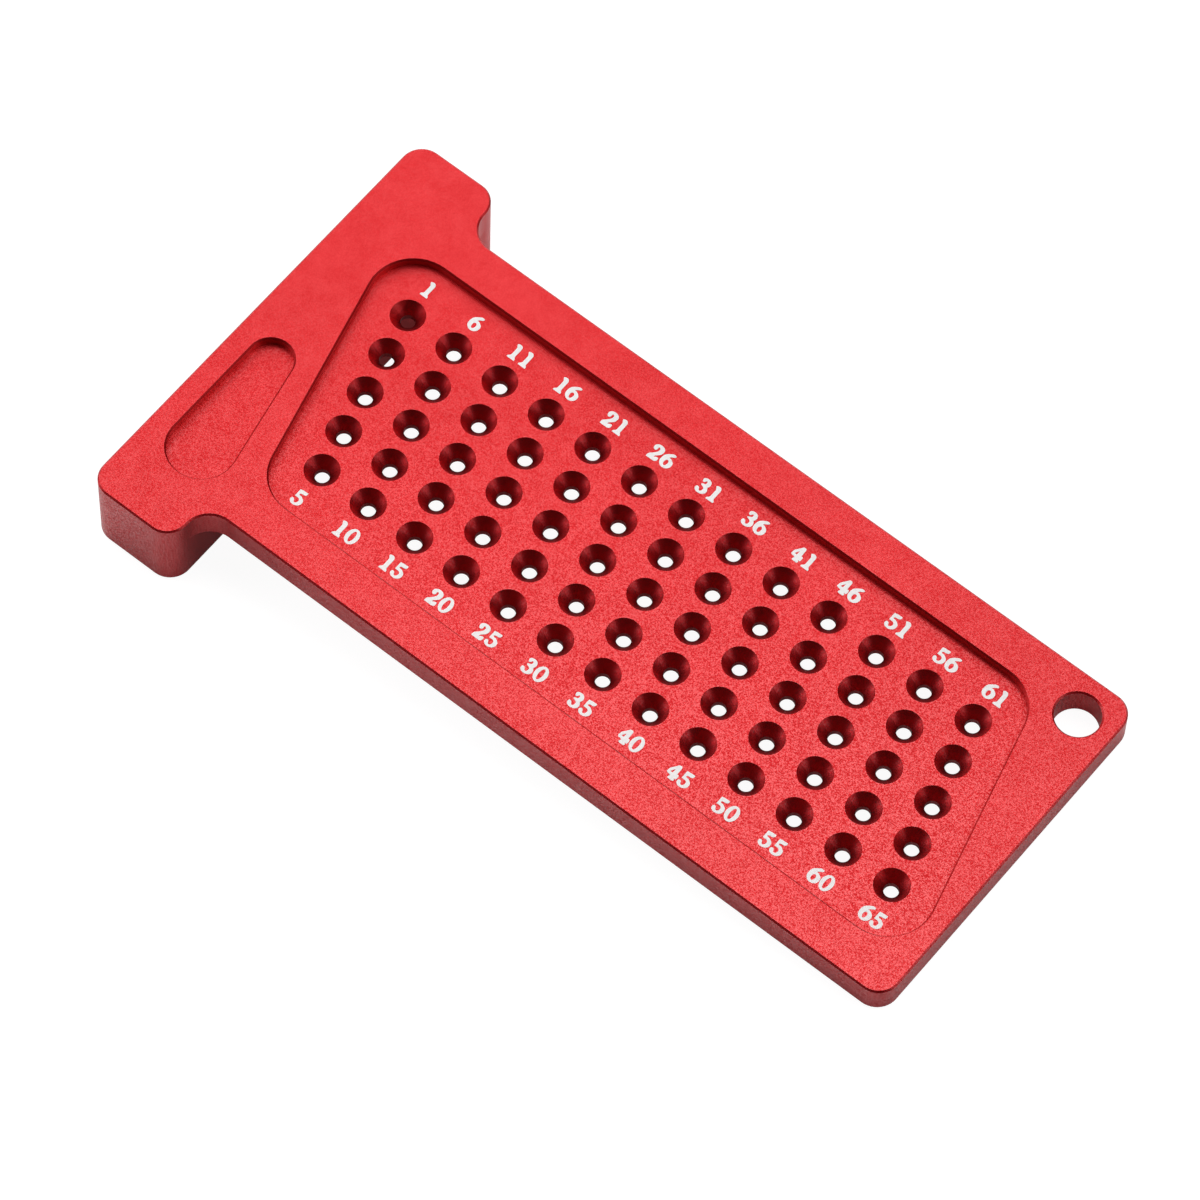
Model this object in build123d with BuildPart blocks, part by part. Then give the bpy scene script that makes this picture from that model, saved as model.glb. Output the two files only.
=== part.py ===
import os
from math import isclose

from build123d import *

# Driving dimensions, in millimetres. The fence's working face is the plane X = 0, the blade runs
# along +X from it, and the origin is at the middle of that face.

# Blade, which runs on past the last pencil hole by its end margin
blade_end_margin = 6.0
blade_width = 34.0
blade_thickness = 3.0
blade_corner_radius = 2.0

# Head, which stands out past the blade as an ear on each side, and whose lower part is the fence
# that bears on the edge of the board. The ear's flat lies between its corner and the neck.
head_thickness = 9.0
head_corner_radius = 2.0
ear_width = 4.5
ear_flat = 0.1
fence_drop = 5.0

# Small bevel along every outside edge
edge_break = 0.15

# Pencil holes: hole n is n pitches from the fence, and each row starts one pitch further out
hole_pitch = 1.0
hole_rows = 5
hole_columns = 13
row_pitch = 4.0
lead_bore_diameter = 1.3
cone_mouth_diameter = 3.1
cone_angle = 82.0
underside_cone_angle = 60.0
first_hole_land = 0.05

# Sunk panel round the holes, with its ends parallel to the slanting columns of holes
panel_depth = 0.9
panel_width = 26.0
panel_end_margin = 4.1
panel_corner_radius = 4.0

# Tapered finger hollow in the head, with its long back wall parallel to the fence
hollow_depth = 0.9
hollow_wide_radius = 3.0
hollow_narrow_radius = 2.0
hollow_length = 15.0
hollow_back_margin = 2.2
hollow_end_margin = 5.5

# Hanging hole in the far corner of the blade
hang_hole_diameter = 4.0
hang_hole_end_inset = 3.5
hang_hole_side_inset = 3.5

# Heights
fence_foot_z = -fence_drop / 2
blade_underside_z = fence_foot_z + fence_drop
top_z = blade_underside_z + blade_thickness
panel_floor_z = top_z - panel_depth

# Sizes that follow from the others
blade_length = hole_rows * hole_columns * hole_pitch + blade_end_margin
head_length = blade_width + 2 * ear_width
neck_radius = ear_width - head_corner_radius - ear_flat
neck_width = blade_width + 2 * neck_radius
blade_root = head_thickness / 2
first_row_y = (hole_rows - 1) * row_pitch / 2
panel_edge_y = panel_width / 2

# The cones under the bores are as wide as the first hole allows beside the fence
underside_cone_width = hole_pitch - lead_bore_diameter / 2 - first_hole_land


def hole_x(column, rows_down):
    """Distance from the fence of the hole in this column, so many rows down from the first."""
    return hole_pitch * (column * hole_rows + rows_down + 1)


def panel_corner(column, margin, y):
    """A corner of the panel, where its end wall keeps a margin from the line of a column."""
    rows_down = (first_row_y - y) / row_pitch
    return (hole_x(column, rows_down) + margin, y)


panel_corners = [
    panel_corner(0, -panel_end_margin, panel_edge_y),
    panel_corner(0, -panel_end_margin, -panel_edge_y),
    panel_corner(hole_columns - 1, panel_end_margin, -panel_edge_y),
    panel_corner(hole_columns - 1, panel_end_margin, panel_edge_y),
]
hole_centres = [
    (hole_x(column, row), first_row_y - row * row_pitch)
    for column in range(hole_columns)
    for row in range(hole_rows)
]

# Ends of the finger hollow, from the back and the near end of the head
hollow_back_x = hollow_back_margin - head_thickness
hollow_near_y = hollow_end_margin - head_length / 2
hollow_far_y = hollow_near_y + hollow_length
hollow_wide_centre = (hollow_back_x + hollow_wide_radius, hollow_near_y + hollow_wide_radius)
hollow_narrow_centre = (hollow_back_x + hollow_narrow_radius, hollow_far_y - hollow_narrow_radius)

hang_hole_centre = (blade_length - hang_hole_end_inset, blade_width / 2 - hang_hole_side_inset)


def round_edges(body, radius, z):
    """The full circles of this radius at this height."""
    circles = body.edges().filter_by(GeomType.CIRCLE)
    at_height = circles.filter_by(lambda circle: isclose(circle.center().Z, z))
    return at_height.filter_by(lambda circle: circle.is_closed and isclose(circle.radius, radius))


def blade_underside(body):
    """The flat underside of the blade, the largest face that looks down."""
    looking_down = body.faces().filter_by(lambda face: isclose(face.normal_at().Z, -1))
    return looking_down.sort_by(SortBy.AREA)[-1]


with BuildPart() as ruler_body:
    # Blade, rooted inside the head, with a wider neck that a circle hollows on each side
    with BuildSketch(Plane.XY.offset(blade_underside_z)) as blade_outline:
        with Locations((-blade_root, 0)):
            Rectangle(blade_root + blade_length, blade_width, align=(Align.MIN, Align.CENTER))
            fillet(blade_outline.vertices().group_by(Axis.X)[-1], blade_corner_radius)
            Rectangle(blade_root + neck_radius, neck_width, align=(Align.MIN, Align.CENTER))
        with Locations((neck_radius, neck_width / 2), (neck_radius, -neck_width / 2)):
            Circle(neck_radius, mode=Mode.SUBTRACT)
    extrude(amount=blade_thickness)
    chamfer(ruler_body.faces().sort_by(Axis.Z)[0].edges(), edge_break)

    # Head, one block from the fence's foot to the top
    with BuildSketch(Plane.XY.offset(fence_foot_z)) as head_outline:
        Rectangle(head_thickness, head_length, align=(Align.MAX, Align.CENTER))
        fillet(head_outline.vertices(), head_corner_radius)
    extrude(amount=fence_drop + blade_thickness)
    chamfer(ruler_body.faces().sort_by(Axis.Z)[0].edges(), edge_break)

    # Sunk panel for the pencil holes
    with BuildSketch(Plane.XY.offset(top_z)) as panel_outline:
        with BuildLine():
            Polyline(*panel_corners, close=True)
        make_face()
        fillet(panel_outline.vertices(), panel_corner_radius)
    extrude(amount=-panel_depth, mode=Mode.SUBTRACT)

    # Finger hollow: two round ends and the straight walls tangent to both
    with BuildSketch(Plane.XY.offset(top_z)):
        with Locations(hollow_wide_centre):
            Circle(hollow_wide_radius)
        with Locations(hollow_narrow_centre):
            Circle(hollow_narrow_radius)
        make_hull()
    extrude(amount=-hollow_depth, mode=Mode.SUBTRACT)

    # Hanging hole
    with Locations(Plane.XY.offset(top_z)):
        with Locations(hang_hole_centre):
            Hole(hang_hole_diameter / 2, depth=blade_thickness)

    # Bevel round the top and along the rims of its hollows, and under the hanging hole
    top_edges = ruler_body.faces().sort_by(Axis.Z)[-1].edges()
    hang_hole_mouth = round_edges(ruler_body, hang_hole_diameter / 2, blade_underside_z)
    chamfer(top_edges + hang_hole_mouth, edge_break)

    # Pencil holes: a cone from the panel's floor, then a fine bore for the lead
    with Locations(Plane.XY.offset(panel_floor_z)):
        with Locations(*hole_centres):
            CounterSinkHole(
                lead_bore_diameter / 2,
                cone_mouth_diameter / 2,
                depth=blade_thickness - panel_depth,
                counter_sink_angle=cone_angle,
            )

    # Each lead bore also opens out a little underneath
    chamfer(
        round_edges(ruler_body, lead_bore_diameter / 2, blade_underside_z),
        underside_cone_width,
        angle=90 - underside_cone_angle / 2,
        reference=blade_underside(ruler_body),
    )

ruler_body.part.label = "ruler_body"

os.makedirs("parts", exist_ok=True)
export_step(ruler_body.part, "parts/ruler_body.step")
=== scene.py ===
import math

import bmesh
import bpy
from bpy.props import FloatProperty, FloatVectorProperty, PointerProperty
from bpy.types import Operator, Panel, PropertyGroup
from mathutils import Matrix, Vector


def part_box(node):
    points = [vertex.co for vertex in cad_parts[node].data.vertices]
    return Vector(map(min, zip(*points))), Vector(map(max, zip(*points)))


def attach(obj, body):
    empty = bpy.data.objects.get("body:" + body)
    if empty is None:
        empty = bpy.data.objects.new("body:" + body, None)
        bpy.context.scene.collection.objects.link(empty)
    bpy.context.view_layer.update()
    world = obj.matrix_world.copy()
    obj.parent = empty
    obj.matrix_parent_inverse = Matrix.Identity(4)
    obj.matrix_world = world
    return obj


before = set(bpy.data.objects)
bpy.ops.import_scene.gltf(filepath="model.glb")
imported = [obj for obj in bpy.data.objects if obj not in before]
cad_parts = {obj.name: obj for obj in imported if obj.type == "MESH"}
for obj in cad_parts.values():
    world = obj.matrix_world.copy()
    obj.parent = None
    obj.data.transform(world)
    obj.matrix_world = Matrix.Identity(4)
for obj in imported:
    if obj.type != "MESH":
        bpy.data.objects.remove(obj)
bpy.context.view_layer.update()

bl_info = {
    "name": "Scribing ruler",
    "version": (1, 0, 0),
    "blender": (4, 5, 0),
    "location": "View3D > Sidebar > Ruler",
    "description": "Gives the scribing ruler its red anodised finish, its printed numbers and its stage",
    "category": "Object",
}

MM = 0.001
WHITE = (1, 1, 1, 1)
BODY = "ruler_body"

# The CAD model, in millimetres: X runs along the blade from the fence's working face, Y along the fence
# and Z up, and the origin is halfway between the fence's foot and the blade's underside.
FOOT_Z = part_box(BODY)[0].z / MM
UNDERSIDE_Z = -FOOT_Z
TOP_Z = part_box(BODY)[1].z / MM
PANEL_DEPTH = 0.9
PANEL_FLOOR_Z = TOP_Z - PANEL_DEPTH
BLADE_END_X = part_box(BODY)[1].x / MM
EDGE_BREAK = 0.15

# How far the masks of the finish keep clear of the flat faces, in millimetres
HAIR = 0.01

# The block of the blade that the pencil holes lie in, the height where their cones end in the bores, and
# how far below the panel's floor the cones have the full colour of their mouths, before painted shade
# darkens them towards the bores
HOLES_START_X = 0.02
HOLES_END_X = 68.0
HOLES_SIDE_Y = 9.8
CONE_END_Z = 3.56
CONE_LIP = 0.2

# The block round the panel and the finger hollow, which holds no outside edge of the body, and the
# inner corner of the place where the hanging hole is
SUNK_LOW = (-8.5, -16.5)
SUNK_HIGH = (70.5, 16.5)
HANG_CORNER = (64.9, 11.0)

# Unevenness of the dye: sizes of its blotches and clouds in millimetres, how much of their noise is cut
# off at each end, how strongly they show, and the tone halfway between the two dyes
BLOTCH_SIZE = 1.6
CLOUD_SIZE = 14.0
DYE_MARGIN = 0.35
BLOTCH_STRENGTH = 0.2
CLOUD_STRENGTH = 0.2
MIDDLE_TONE = 0.5

# The blasted grain: its noise, and how much of that is cut off at each end
GRAIN_DETAIL = 1.5
GRAIN_ROUGHNESS = 0.6
GRAIN_MARGIN = 0.36

# A painted light lean: the grain's contrast and the clear layer's sheen grow along these shares of X and Y,
# standing in for how the light falls across the blade. The grain has its least strength up to the first
# place, in millimetres, and its whole strength from the second on. Up to this height over the sunk floors
# it is stronger by this share.
PAINTED_LIGHT_ALONG = (0.8, -1.5)
LEAN_LEAST_UP_TO = -15.0
LEAN_WHOLE_FROM = 45.0
LEAN_LEAST_STRENGTH = 0.3
STRONGER_UP_TO = 0.3
STRONGER_BY = 0.3

# The clear layer over the dye: its share everywhere, what the painted sheen lean, specks and blotches add
# to it, and what it loses as painted shade on the sunk places' rims and walls
CLEAR_SHARE = 0.34
PAINTED_SHEEN_ON_LEAN = 0.84
CLEAR_ON_SPECKS = 2.6
CLEAR_ON_BLOTCHES = 0.25
CLEAR_LOST_TO_RIM_SHADE = 0.9
CLEAR_LOST_TO_WALL_SHADE = 0.5
CLEAR_IOR = 1.55

# How much smoother the metal is on a bright speck
SPECK_POLISH = 0.05

# The printing ink: size of its specks in millimetres and how much of their noise is cut off at each end,
# height of its grain, brightness where it is thin, its least roughness and what the specks add, and how
# deep it goes into the panel's floor
INK_SPECK_SIZE = 0.3
INK_MARGIN = 0.3
INK_GRAIN_HEIGHT = 0.003
THIN_INK = 0.93
INK_ROUGHNESS = 0.5
INK_SPECK_ROUGHNESS = 0.12
INK_SINK = 0.002

# Outlines of the printed digits, in millimetres from the middle of the digit. A knot with two numbers
# is a corner. A third number makes the outline smooth there, and is its heading in degrees.
DIGITS = {
    "0": (
        ((0.58, 0, 90), (0, 0.8, 180), (-0.58, 0, 270), (0, -0.8, 0)),
        ((0.21, 0, 270), (0, -0.57, 180), (-0.21, 0, 90), (0, 0.57, 0)),
    ),
    "1": (
        ((-0.06, 0.8, 0), (0.225, 0.45, 270), (0.225, -0.38, 270), (0.38, -0.66), (0.38, -0.8),
         (-0.38, -0.8), (-0.38, -0.66), (-0.165, -0.36, 90), (-0.165, 0.27, 90), (-0.35, 0.67, 112)),
    ),
    "2": (
        ((-0.5, -0.79), (0.22, -0.79, 0), (0.5, -0.54, 90), (0.43, -0.32, 180), (0.05, -0.48),
         (0.13, -0.27, 43), (0.51, 0.41, 90), (-0.02, 0.8, 180), (-0.52, 0.43, 270), (-0.31, 0.13, 0),
         (-0.13, 0.29, 90), (-0.1, 0.53, 0), (0.08, 0.4, 270), (-0.12, -0.09, 234), (-0.51, -0.6, 263)),
    ),
    "3": (
        ((-0.05, -0.79, 0), (0.53, -0.35, 90), (0.35, 0.07), (0.44, 0.37, 90), (0, 0.79, 180),
         (-0.42, 0.57, 270), (-0.28, 0.32, 0), (-0.13, 0.43, 74), (-0.02, 0.53, 0), (0.05, 0.39, 270),
         (-0.07, 0.2, 200), (-0.3, 0.07, 270), (-0.11, -0.05, 345), (0.13, -0.28, 270),
         (-0.01, -0.56, 180), (-0.17, -0.43, 115), (-0.44, -0.28, 180), (-0.52, -0.49, 270)),
    ),
    "4": (
        ((-0.53, -0.27, 90), (-0.1, 0.63, 59), (0.19, 0.78, 0), (0.32, 0.55, 270), (0.34, -0.05),
         (0.46, -0.03, 0), (0.55, -0.29, 270), (0.51, -0.49), (0.32, -0.49), (0.44, -0.64, 270),
         (0.29, -0.77, 180), (-0.01, -0.77, 180), (-0.16, -0.67, 90), (-0.07, -0.48), (-0.16, -0.4),
         (-0.29, -0.39, 180)),
        ((-0.3, -0.13), (-0.06, -0.13), (-0.05, 0.28)),
    ),
    "5": (
        ((-0.4, 0.72), (0.05, 0.78, 0), (0.35, 0.8), (0.39, 0.68, 270), (0.19, 0.45, 189),
         (-0.02, 0.43, 185), (-0.21, 0.33), (-0.08, 0.23, 0), (0.28, 0.13, 328), (0.53, -0.32, 270),
         (-0.07, -0.8, 180), (-0.53, -0.45, 90), (-0.4, -0.27, 0), (-0.19, -0.43, 289), (-0.03, -0.57, 0),
         (0.16, -0.26, 90), (-0.07, -0.03, 180), (-0.4, -0.03)),
    ),
    "6": (
        ((-0.58, -0.21, 270), (0.02, -0.8, 0), (0.59, -0.27, 90), (0.24, 0.23, 150), (-0.05, 0.29),
         (0.15, 0.47, 31), (0.39, 0.71, 90), (0.24, 0.78, 180), (-0.07, 0.68, 213)),
        ((-0.18, -0.22, 90), (0, 0.03, 0), (0.18, -0.22, 270), (0, -0.57, 180)),
    ),
}

# A smooth knot's handle as a share of the way to its neighbour. The first share is measured along the
# heading and draws a quarter circle, and the second is the least that it may be of the straight way.
ROUND_HANDLE = 0.5523
LEAST_HANDLE = 0.2

# Steps that the outlines are cut into between two knots, and the gap in millimetres that the digits'
# walls and caps are joined across
OUTLINE_STEPS = 6
JOIN_GAP = 0.0005

# The middle of each printed number along the blade, in millimetres from the fence
TOP_NUMBERS = {
    1: 0.79, 6: 5.88, 11: 10.85, 16: 15.85, 21: 21.0, 26: 25.95, 31: 30.98, 36: 35.88, 41: 41.01,
    46: 45.84, 51: 50.94, 56: 55.96, 61: 61.0,
}
LOW_NUMBERS = {
    5: 5.21, 10: 10.37, 15: 15.4, 20: 20.42, 25: 25.44, 30: 30.48, 35: 35.4, 40: 40.56, 45: 45.67,
    50: 50.48, 55: 55.28, 60: 60.25, 65: 65.52,
}

# Lamps: name, azimuth and elevation in degrees, size in metres and power in watts. Azimuth 216 is
# straight across from the camera. Each hangs LAMP_DISTANCE metres from the middle of the blade.
LAMPS = (
    ("overhead_softbox", 216, 76, 0.2, 0.345),
    ("right_softbox", 130, 60, 0.25, 0.61),
    ("far_right_softbox", 180, 50, 0.4, 0.19),
    ("far_lamp", 216, 20, 0.4, 1.06),
    ("far_left_lamp", 240, 36, 0.5, 0.66),
    ("left_lamp", 280, 34, 0.5, 1.22),
    ("near_left_lamp", 300, 28, 0.4, 0.18),
    ("right_lamp", 110, 27, 0.4, 0.33),
)
LAMP_DISTANCE = 0.5
BLADE_MIDDLE = Vector((33.0, 0.0, 0.0)) * MM

# The floor: half its width in metres and its squares each way, and the strength and the share of the
# white that the camera sees mixed into it
FLOOR_HALF_WIDTH = 1.5
FLOOR_SQUARES = 8
FLOOR_WHITE = 1.26
FLOOR_WHITE_SHARE = 0.75

# The photograph's camera, fitted to the pencil holes: its place in millimetres, the directions to its
# right and behind it, the width of its sensor in millimetres, and the range that it sees in metres
CAMERA_PLACE = (192.069, -220.433, 514.845)
CAMERA_RIGHT = (0.77764, 0.62834, 0.02176)
CAMERA_BACK = (0.27967, -0.37671, 0.88310)
SENSOR_WIDTH = 36
SEEN_FROM = 0.01
SEEN_TO = 20


class Wire:
    """A node's output that can stand in sums: each operator adds a Math node to the same recipe."""

    def __init__(self, recipe, socket):
        self.recipe = recipe
        self.socket = socket

    def maths(self, operation, first, second):
        """Adds a Math node for the two values."""
        return self.recipe.node("ShaderNodeMath", {"operation": operation}, {0: first, 1: second})

    def __add__(self, other):
        return self.maths("ADD", self, other)

    def __radd__(self, other):
        return self.maths("ADD", other, self)

    def __sub__(self, other):
        return self.maths("SUBTRACT", self, other)

    def __rsub__(self, other):
        return self.maths("SUBTRACT", other, self)

    def __mul__(self, other):
        return self.maths("MULTIPLY", self, other)

    def __rmul__(self, other):
        return self.maths("MULTIPLY", other, self)

    def __gt__(self, other):
        return self.maths("GREATER_THAN", self, other)

    def __lt__(self, other):
        return self.maths("LESS_THAN", self, other)


class Recipe:
    """The nodes of one finish."""

    def __init__(self, tree):
        self.tree = tree
        tree.nodes.clear()

    def node(self, kind, settings=None, sockets=None, output=0):
        """Adds a node, makes its settings, then fills its sockets with values or wires."""
        made = self.tree.nodes.new(kind)
        for name, value in (settings or {}).items():
            setattr(made, name, value)
        for name, value in (sockets or {}).items():
            if isinstance(value, Wire):
                self.tree.links.new(value.socket, made.inputs[name])
            else:
                made.inputs[name].default_value = value
        return Wire(self, made.outputs[output]) if made.outputs else None

    def mix_colour(self, factor, first, second):
        """One colour turning into the other as the factor goes from 0 to 1."""
        # A Mix node has its colours at inputs 6 and 7, and the mixed colour at output 2
        settings = {"data_type": "RGBA", "blend_type": "MIX"}
        return self.node("ShaderNodeMix", settings, {0: factor, 6: first, 7: second}, 2)

    def mix_shader(self, factor, first, second):
        """One shader turning into the other as the factor goes from 0 to 1."""
        return self.node("ShaderNodeMixShader", None, {0: factor, 1: first, 2: second})

    def noise(self, place, size, detail=2.0, roughness=0.5):
        """Soft noise with lumps of about this size, in metres."""
        sockets = {"Vector": place, "Scale": 1 / size, "Detail": detail, "Roughness": roughness}
        return self.node("ShaderNodeTexNoise", {"noise_dimensions": "3D"}, sockets)

    def axes(self, place):
        """The three numbers of a place."""
        parts = self.node("ShaderNodeSeparateXYZ", None, {"Vector": place}).socket.node
        return [Wire(self, output) for output in parts.outputs]

    def spread(self, value, low, high, new_low, new_high):
        """The value's range from low to high, stretched to a new range and held inside it."""
        sockets = {"Value": value, "From Min": low, "From Max": high, "To Min": new_low, "To Max": new_high}
        return self.node("ShaderNodeMapRange", {"clamp": True}, sockets)

    def centred(self, noise, margin):
        """Noise with both margins of its range cut off and the rest stretched from -0.5 to 0.5."""
        return self.spread(noise, margin, 1 - margin, -0.5, 0.5)

    def cover_with(self, sockets):
        """A Principled shader with these sockets, as the surface of the whole piece."""
        shader = self.node("ShaderNodeBsdfPrincipled", None, sockets)
        self.node("ShaderNodeOutputMaterial", None, {"Surface": shader})


def new_finish(name):
    """A new material, with an empty recipe."""
    material = bpy.data.materials.new(name)
    material.use_nodes = True
    return material, Recipe(material.node_tree)


def link_in(piece):
    """Puts a new object in the scene."""
    bpy.context.scene.collection.objects.link(piece)
    return piece


def rgba(colour):
    """A colour of three numbers with the fourth that a colour socket takes."""
    return (*colour, 1.0)


class AnodisedSettings(PropertyGroup):
    """The body's finish."""

    dye: FloatVectorProperty(
        name="Dye", description="Colour of the dyed aluminium",
        subtype="COLOR", size=3, min=0, max=1, default=(0.705, 0.022, 0.027),
    )
    deep_dye: FloatVectorProperty(
        name="Deep dye", description="Colour where the dye has gone in deeper",
        subtype="COLOR", size=3, min=0, max=1, default=(0.53, 0.008, 0.011),
    )
    # Painted shade: a darker colour on the bevels round the panel and the finger hollow, standing in for
    # the dark line that shade draws there
    rim_dye: FloatVectorProperty(
        name="Rim painted shade", description="Colour of the bevels round the panel and the finger hollow",
        subtype="COLOR", size=3, min=0, max=1, default=(0.42, 0.005, 0.007),
    )
    # Painted shade: a darker colour on the walls of the panel and the finger hollow, standing in for the
    # shade on them
    wall_dye: FloatVectorProperty(
        name="Wall painted shade", description="Colour of the walls of the panel and the finger hollow",
        subtype="COLOR", size=3, min=0, max=1, default=(0.52, 0.01, 0.013),
    )
    drilled_dye: FloatVectorProperty(
        name="Drilled dye", description="Colour of the cones at their mouths",
        subtype="COLOR", size=3, min=0, max=1, default=(0.69, 0.024, 0.032),
    )
    # Painted shade: the cones darken to this colour towards the bores, standing in for the shade in the
    # holes
    bore_dye: FloatVectorProperty(
        name="Bore painted shade", description="Colour of the bores and the lower ends of the cones",
        subtype="COLOR", size=3, min=0, max=1, default=(0.36, 0.012, 0.017),
    )
    bare_metal: FloatProperty(
        name="Bare metal", description="How much the blasted surface shines as metal, and not as matt dye",
        subtype="FACTOR", min=0, max=1, default=0.78,
    )
    roughness: FloatProperty(
        name="Roughness", description="Roughness of the blasted metal",
        subtype="FACTOR", min=0, max=1, default=0.4,
    )
    drilled_roughness: FloatProperty(
        name="Drilled roughness", description="Roughness of the drilled cones and bores",
        subtype="FACTOR", min=0, max=1, default=0.36,
    )
    clear_layer: FloatProperty(
        name="Clear layer", description="Strength of the clear layer over the dye",
        subtype="FACTOR", min=0, max=1, default=0.51,
    )
    clear_roughness: FloatProperty(
        name="Clear roughness", description="Roughness of the clear layer over the dye",
        subtype="FACTOR", min=0, max=1, default=0.27,
    )
    grain: FloatProperty(
        name="Grain", description="Size of the blasted grain",
        unit="LENGTH", precision=5, min=0.05 * MM, max=2 * MM, default=0.13 * MM,
    )
    grain_height: FloatProperty(
        name="Grain height", description="Height of the blasted grain",
        unit="LENGTH", precision=6, min=0, max=0.1 * MM, default=0.003 * MM,
    )


class NumberSettings(PropertyGroup):
    """The printed numbers."""

    ink: FloatVectorProperty(
        name="Ink", description="Colour of the printed ink",
        subtype="COLOR", size=3, min=0, max=1, default=(0.95, 0.93, 0.92),
    )
    thickness: FloatProperty(
        name="Ink thickness", description="Thickness of the printed ink",
        unit="LENGTH", precision=5, min=0.005 * MM, max=0.1 * MM, default=0.02 * MM,
    )
    digit_pitch: FloatProperty(
        name="Digit pitch", description="From the middle of one digit to the middle of the next",
        unit="LENGTH", precision=5, min=0.5 * MM, max=3 * MM, default=1.19 * MM,
    )
    top_row: FloatProperty(
        name="Upper row", description="Middle of the upper numbers, from the middle of the blade",
        unit="LENGTH", precision=5, default=11.05 * MM,
    )
    low_row: FloatProperty(
        name="Lower row", description="Middle of the lower numbers, from the middle of the blade",
        unit="LENGTH", precision=5, default=-11.23 * MM,
    )


class StageSettings(PropertyGroup):
    """The floor, the lights and the camera."""

    floor: FloatVectorProperty(
        name="Floor", description="Colour of the floor",
        subtype="COLOR", size=3, min=0, max=1, default=(0.7, 0.7, 0.7),
    )
    glow: FloatProperty(
        name="Floor glow", description="Share of the white floor that shows in the metal",
        subtype="FACTOR", min=0, max=1, default=0.058,
    )
    light: FloatProperty(
        name="Light", description="Strength of all the lamps together", min=0, max=10, default=1.0,
    )
    fill: FloatProperty(
        name="Fill", description="Brightness of the room's light from all sides", min=0, max=2,
        default=0.016,
    )
    lens: FloatProperty(
        name="Lens", description="Focal length of the camera",
        unit="CAMERA", min=20, max=400, default=210.48,
    )


def between(value, low, high):
    """1 where the value lies between these two places, in millimetres, and 0 elsewhere."""
    return (value > low * MM) * (value < high * MM)


def in_block(axes, low, high):
    """1 inside the block between two corners, and 0 elsewhere."""
    in_x, in_y, in_z = (between(*edges) for edges in zip(axes, low, high))
    return in_x * in_y * in_z


def in_pencil_holes(axes):
    """1 on the cones and bores of the pencil holes, and 0 on the rest of the body."""
    low = (HOLES_START_X, -HOLES_SIDE_Y, UNDERSIDE_Z + HAIR)
    high = (HOLES_END_X, HOLES_SIDE_Y, PANEL_FLOOR_Z - HAIR)
    return in_block(axes, low, high)


def in_sunk_places(axes, low_z, high_z):
    """1 between two heights in the panel and the finger hollow, and 0 elsewhere and in the hanging hole:
    where painted shade darkens the walls and the bevels.
    """
    x, y = axes[:2]
    in_middle = in_block(axes, (*SUNK_LOW, low_z), (*SUNK_HIGH, high_z))
    at_hanging_hole = (x > HANG_CORNER[0] * MM) * (y > HANG_CORNER[1] * MM)
    return in_middle * (1.0 - at_hanging_hole)


def dye_the_metal(recipe, settings, tone, z, drilled, walls, rims):
    """The dye, uneven on the flats, with painted shade that darkens it towards the bores and on the sunk
    places' walls and rims.
    """
    on_flats = recipe.mix_colour(tone, rgba(settings.deep_dye), rgba(settings.dye))
    # Painted shade: the cones darken from their mouths' colour towards the bores
    up_the_cone = recipe.spread(z, CONE_END_Z * MM, (PANEL_FLOOR_Z - CONE_LIP) * MM, 0.0, 1.0)
    cones_shaded_to_bores = recipe.mix_colour(up_the_cone, rgba(settings.bore_dye), rgba(settings.drilled_dye))
    colour = recipe.mix_colour(drilled, on_flats, cones_shaded_to_bores)
    # Painted shade: darker colours on the sunk places' walls and on the bevels round them
    colour = recipe.mix_colour(walls, colour, rgba(settings.wall_dye))
    return recipe.mix_colour(rims, colour, rgba(settings.rim_dye))


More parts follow.
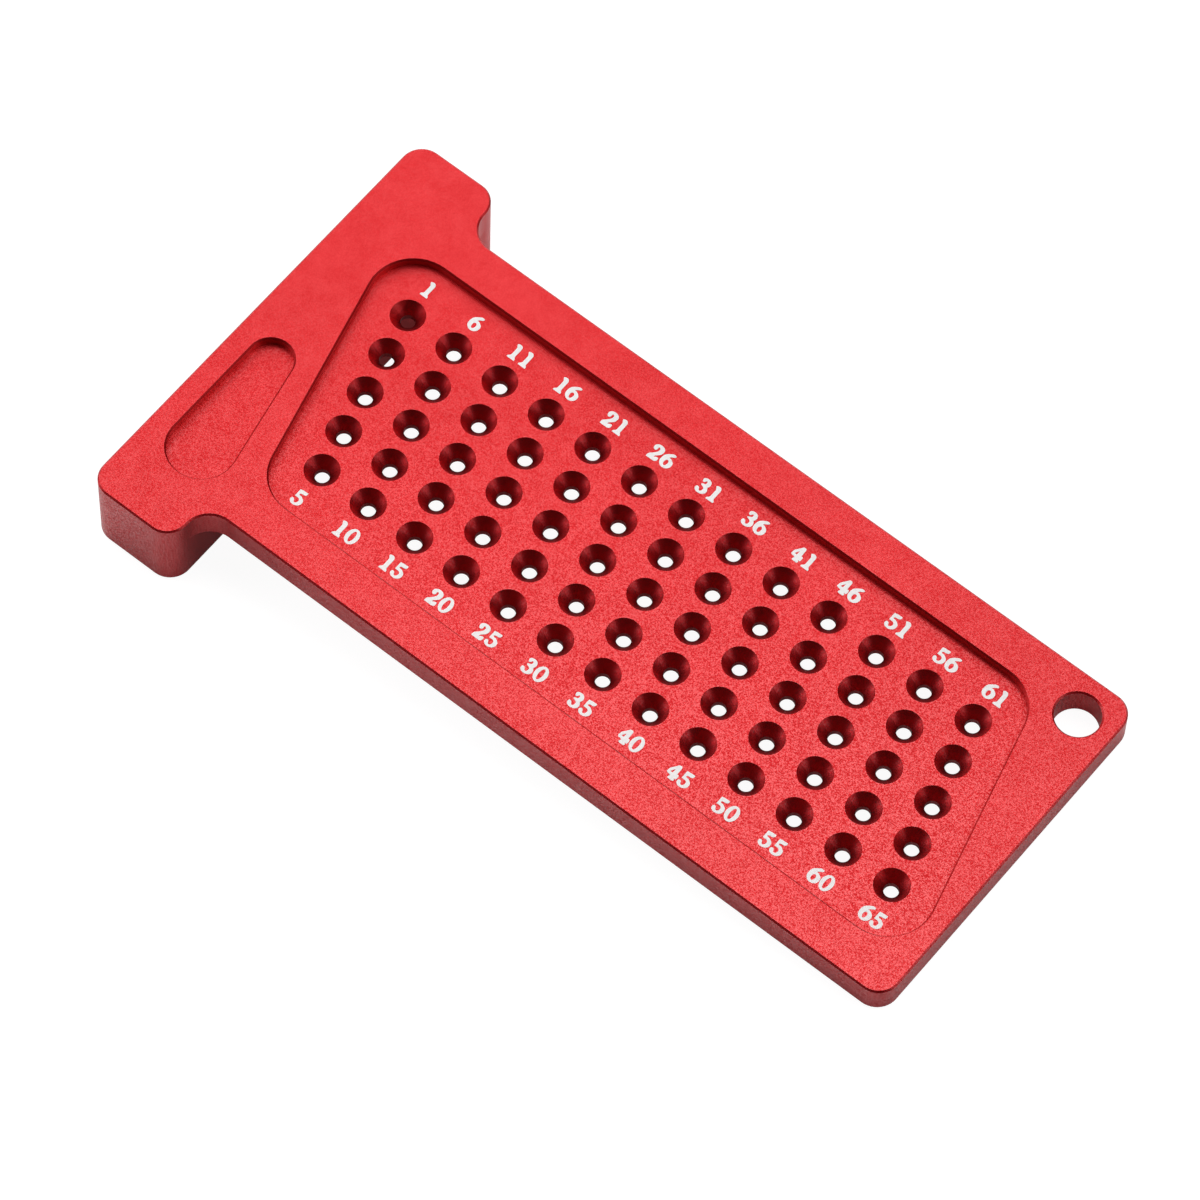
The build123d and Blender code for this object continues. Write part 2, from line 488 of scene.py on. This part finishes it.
class RULER_OT_anodise_body(Operator):
    """Give the body its blasted, red anodised finish, with painted shade in its hollows and a painted sheen
    across the blade
    """

    bl_idname = "ruler.anodise_body"
    bl_label = "Anodise the body"

    def execute(self, context):
        settings = context.scene.ruler_anodised
        material, recipe = new_finish("red_anodising_and_painted_shade")
        place = recipe.node("ShaderNodeTexCoord", output="Object")
        axes = recipe.axes(place)
        x, y, z = axes

        grain = recipe.noise(place, settings.grain, GRAIN_DETAIL, GRAIN_ROUGHNESS)
        blotches = recipe.centred(recipe.noise(place, BLOTCH_SIZE * MM), DYE_MARGIN)
        clouds = recipe.centred(recipe.noise(place, CLOUD_SIZE * MM), DYE_MARGIN)
        # Painted light lean: the grain's contrast and the clear layer's sheen grow across the blade towards
        # its near end, standing in for how the light falls on it
        across = x * PAINTED_LIGHT_ALONG[0] + y * PAINTED_LIGHT_ALONG[1]
        painted_light_lean = recipe.spread(across, LEAN_LEAST_UP_TO * MM, LEAN_WHOLE_FROM * MM, LEAN_LEAST_STRENGTH, 1.0)
        low_down = z < (PANEL_FLOOR_Z + STRONGER_UP_TO) * MM
        specks = recipe.centred(grain, GRAIN_MARGIN) * painted_light_lean * (1.0 + low_down * STRONGER_BY)
        tone = specks + blotches * BLOTCH_STRENGTH + clouds * CLOUD_STRENGTH + MIDDLE_TONE

        drilled = in_pencil_holes(axes)
        # Masks where painted shade darkens the sunk places' walls and the bevels round them
        bevel_z = TOP_Z - EDGE_BREAK - HAIR
        walls = in_sunk_places(axes, PANEL_FLOOR_Z + HAIR, bevel_z)
        rims = in_sunk_places(axes, bevel_z, TOP_Z - HAIR)

        drilled_change = settings.drilled_roughness - settings.roughness
        # The clear layer: a painted sheen that grows with the lean, and less of it on the sunk places' rims
        # and walls as painted shade
        clear = painted_light_lean * PAINTED_SHEEN_ON_LEAN + specks * CLEAR_ON_SPECKS + blotches * CLEAR_ON_BLOTCHES
        clear_left_by_painted_shade = 1.0 - rims * CLEAR_LOST_TO_RIM_SHADE - walls * CLEAR_LOST_TO_WALL_SHADE
        bump = {"Height": specks, "Distance": settings.grain_height, "Strength": 1.0}
        recipe.cover_with({
            "Base Color": dye_the_metal(recipe, settings, tone, z, drilled, walls, rims),
            "Metallic": settings.bare_metal + drilled * (1.0 - settings.bare_metal),
            "Roughness": settings.roughness - specks * SPECK_POLISH + drilled * drilled_change,
            "Coat Weight": settings.clear_layer * (clear + CLEAR_SHARE) * clear_left_by_painted_shade,
            "Coat Roughness": settings.clear_roughness,
            "Coat IOR": CLEAR_IOR,
            "Normal": recipe.node("ShaderNodeBump", None, bump),
        })

        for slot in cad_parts[BODY].material_slots:
            slot.material = material
        return {"FINISHED"}


def reach(knot, other, tangent):
    """Length of the handle from a smooth knot towards its neighbour."""
    way = Vector(other[:2]) - Vector(knot[:2])
    return max(ROUND_HANDLE * abs(way.dot(tangent)), LEAST_HANDLE * way.length)


def handles(before, knot, after):
    """The two handles of a knot: along its heading where it is smooth, to its neighbours at a corner."""
    here = Vector(knot[:2])
    if len(knot) == 2:
        return here.lerp(Vector(before[:2]), 1 / 3), here.lerp(Vector(after[:2]), 1 / 3)
    heading = math.radians(knot[2])
    tangent = Vector((math.cos(heading), math.sin(heading)))
    return here - tangent * reach(knot, before, tangent), here + tangent * reach(knot, after, tangent)


def draw_digit(curve, digit, centre):
    """Adds one digit's outlines to the curve."""
    for knots in DIGITS[digit]:
        spline = curve.splines.new("BEZIER")
        spline.bezier_points.add(len(knots) - 1)
        spline.use_cyclic_u = True
        for index, point in enumerate(spline.bezier_points):
            knot = knots[index]
            left, right = handles(knots[index - 1], knot, knots[(index + 1) % len(knots)])
            point.handle_left_type = "FREE"
            point.handle_right_type = "FREE"
            point.co = (*(Vector(knot[:2]) + centre), 0)
            point.handle_left = (*(left + centre), 0)
            point.handle_right = (*(right + centre), 0)


def draw_numbers(settings):
    """The outlines of all the numbers, as one curve in millimetres that is as thick as the ink."""
    curve = bpy.data.curves.new("number_outlines", "CURVE")
    curve.dimensions = "2D"
    curve.fill_mode = "BOTH"
    curve.resolution_u = OUTLINE_STEPS
    curve.extrude = settings.thickness / MM / 2
    pitch = settings.digit_pitch / MM
    for places, row in ((TOP_NUMBERS, settings.top_row / MM), (LOW_NUMBERS, settings.low_row / MM)):
        for number, middle in places.items():
            digits = str(number)
            start = middle - pitch * (len(digits) - 1) / 2
            for index, digit in enumerate(digits):
                draw_digit(curve, digit, Vector((start + index * pitch, row)))
    return curve


def closed_mesh(context, curve):
    """Turns the curve into a mesh, joins its walls and caps and turns every face outwards."""
    outline = link_in(bpy.data.objects.new("number_outlines", curve))
    context.view_layer.update()
    mesh = bpy.data.meshes.new_from_object(outline.evaluated_get(context.evaluated_depsgraph_get()))
    bpy.data.objects.remove(outline)
    bpy.data.curves.remove(curve)
    bm = bmesh.new()
    bm.from_mesh(mesh)
    bmesh.ops.remove_doubles(bm, verts=bm.verts, dist=JOIN_GAP)
    bmesh.ops.recalc_face_normals(bm, faces=bm.faces)
    bm.to_mesh(mesh)
    bm.free()
    return mesh


def printing_ink(ink):
    """Matt ink of this colour, a little darker where it is thin."""
    material, recipe = new_finish("white_printing_ink")
    place = recipe.node("ShaderNodeTexCoord", output="Object")
    grain = recipe.noise(place, INK_SPECK_SIZE * MM)
    specks = recipe.spread(grain, INK_MARGIN, 1 - INK_MARGIN, 0.0, 1.0)
    thin_ink = [THIN_INK * value for value in ink]
    bump = {"Height": grain, "Distance": INK_GRAIN_HEIGHT * MM, "Strength": 1.0}
    recipe.cover_with({
        "Base Color": recipe.mix_colour(specks, rgba(thin_ink), rgba(ink)),
        "Roughness": INK_ROUGHNESS + specks * INK_SPECK_ROUGHNESS,
        "Normal": recipe.node("ShaderNodeBump", None, bump),
    })
    return material


class RULER_OT_print_numbers(Operator):
    """Print the white numbers along both sides of the panel"""

    bl_idname = "ruler.print_numbers"
    bl_label = "Print the numbers"

    def execute(self, context):
        settings = context.scene.ruler_numbers
        mesh = closed_mesh(context, draw_numbers(settings))
        mesh.name = "printed_numbers"
        height = (PANEL_FLOOR_Z - INK_SINK) * MM + settings.thickness / 2
        mesh.transform(Matrix.Translation((0, 0, height)) @ Matrix.Scale(MM, 4))
        mesh.materials.clear()
        mesh.materials.append(printing_ink(settings.ink))
        numbers = link_in(bpy.data.objects.new("printed_numbers", mesh))
        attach(numbers, "root")
        return {"FINISHED"}


def lay_floor(settings):
    """A wide floor that the fence's foot and the blade's end rest on."""
    foot = Vector((-EDGE_BREAK, 0, FOOT_Z))
    end = Vector((BLADE_END_X - EDGE_BREAK, 0, UNDERSIDE_Z))
    slope = math.atan2(end.z - foot.z, end.x - foot.x)
    mesh = bpy.data.meshes.new("studio_floor")
    bm = bmesh.new()
    bmesh.ops.create_grid(bm, x_segments=FLOOR_SQUARES, y_segments=FLOOR_SQUARES, size=FLOOR_HALF_WIDTH)
    bm.to_mesh(mesh)
    bm.free()
    floor = link_in(bpy.data.objects.new("studio_floor", mesh))
    floor.matrix_world = Matrix.Translation(foot * MM) @ Matrix.Rotation(-slope, 4, "Y")

    material, recipe = new_finish("pale_paper")
    seen = recipe.node("ShaderNodeLightPath", output="Is Camera Ray")
    mirrored = recipe.node("ShaderNodeLightPath", output="Is Glossy Ray")
    paper = recipe.node("ShaderNodeBsdfDiffuse", None, {"Color": rgba(settings.floor)})
    white = recipe.node("ShaderNodeEmission", None, {"Color": WHITE, "Strength": FLOOR_WHITE})
    surface = recipe.mix_shader(seen * FLOOR_WHITE_SHARE + mirrored * settings.glow, paper, white)
    recipe.node("ShaderNodeOutputMaterial", None, {"Surface": surface})
    mesh.materials.append(material)


def light_room(settings):
    """An even room light, which the camera sees as white."""
    world = bpy.data.worlds.new("studio_room")
    bpy.context.scene.world = world
    world.use_nodes = True
    recipe = Recipe(world.node_tree)
    seen = recipe.node("ShaderNodeLightPath", output="Is Camera Ray")
    room = recipe.node("ShaderNodeBackground", None, {"Color": WHITE, "Strength": settings.fill})
    white = recipe.node("ShaderNodeBackground", None, {"Color": WHITE, "Strength": 1.0})
    recipe.node("ShaderNodeOutputWorld", None, {"Surface": recipe.mix_shader(seen, room, white)})


def hang_lamp(name, azimuth, elevation, size, power):
    """A square lamp that faces the middle of the blade from this azimuth and elevation."""
    data = bpy.data.lights.new(name, "AREA")
    data.shape = "SQUARE"
    data.size = size
    data.energy = power
    lamp = link_in(bpy.data.objects.new(name, data))
    turn = math.radians(azimuth)
    rise = math.radians(elevation)
    away = Vector((math.sin(turn) * math.cos(rise), -math.cos(turn) * math.cos(rise), math.sin(rise)))
    facing = (-away).to_track_quat("-Z", "Y").to_matrix().to_4x4()
    lamp.matrix_world = Matrix.Translation(BLADE_MIDDLE + away * LAMP_DISTANCE) @ facing


def set_camera(lens):
    """The camera of the photograph, from its place and the direction that it looks in."""
    data = bpy.data.cameras.new("camera")
    data.sensor_width = SENSOR_WIDTH
    data.lens = lens
    data.clip_start = SEEN_FROM
    data.clip_end = SEEN_TO
    camera = link_in(bpy.data.objects.new("camera", data))
    back = Vector(CAMERA_BACK).normalized()
    up = back.cross(Vector(CAMERA_RIGHT).normalized()).normalized()
    right = up.cross(back)
    turn = Matrix((right, up, back)).transposed().to_4x4()
    camera.matrix_world = Matrix.Translation(Vector(CAMERA_PLACE) * MM) @ turn
    bpy.context.scene.camera = camera


class RULER_OT_set_stage(Operator):
    """Lay the floor, hang the lights and set the camera"""

    bl_idname = "ruler.set_stage"
    bl_label = "Set the stage"

    def execute(self, context):
        settings = context.scene.ruler_stage
        context.scene.view_settings.view_transform = "Standard"
        lay_floor(settings)
        light_room(settings)
        for name, azimuth, elevation, size, power in LAMPS:
            hang_lamp(name, azimuth, elevation, size, power * settings.light)
        set_camera(settings.lens)
        return {"FINISHED"}


class RULER_PT_sidebar(Panel):
    """The ruler's settings and steps"""

    bl_label = "Scribing ruler"
    bl_idname = "RULER_PT_sidebar"
    bl_space_type = "VIEW_3D"
    bl_region_type = "UI"
    bl_category = "Ruler"

    def draw(self, context):
        for name in SETTINGS:
            box = self.layout.box()
            settings = getattr(context.scene, name)
            for field in settings.bl_rna.properties:
                if field.identifier not in ("rna_type", "name"):
                    box.prop(settings, field.identifier)
        for step in STEPS:
            self.layout.operator(step.bl_idname)


SETTINGS = {
    "ruler_anodised": AnodisedSettings,
    "ruler_numbers": NumberSettings,
    "ruler_stage": StageSettings,
}
STEPS = (RULER_OT_anodise_body, RULER_OT_print_numbers, RULER_OT_set_stage)
CLASSES = (*SETTINGS.values(), *STEPS, RULER_PT_sidebar)


def register():
    for cls in CLASSES:
        bpy.utils.register_class(cls)
    for name, group in SETTINGS.items():
        setattr(bpy.types.Scene, name, PointerProperty(type=group))


def unregister():
    for name in SETTINGS:
        delattr(bpy.types.Scene, name)
    for cls in reversed(CLASSES):
        bpy.utils.unregister_class(cls)


def main():
    register()
    bpy.ops.ruler.anodise_body()
    bpy.ops.ruler.print_numbers()
    bpy.ops.ruler.set_stage()


if __name__ == "__main__":
    main()
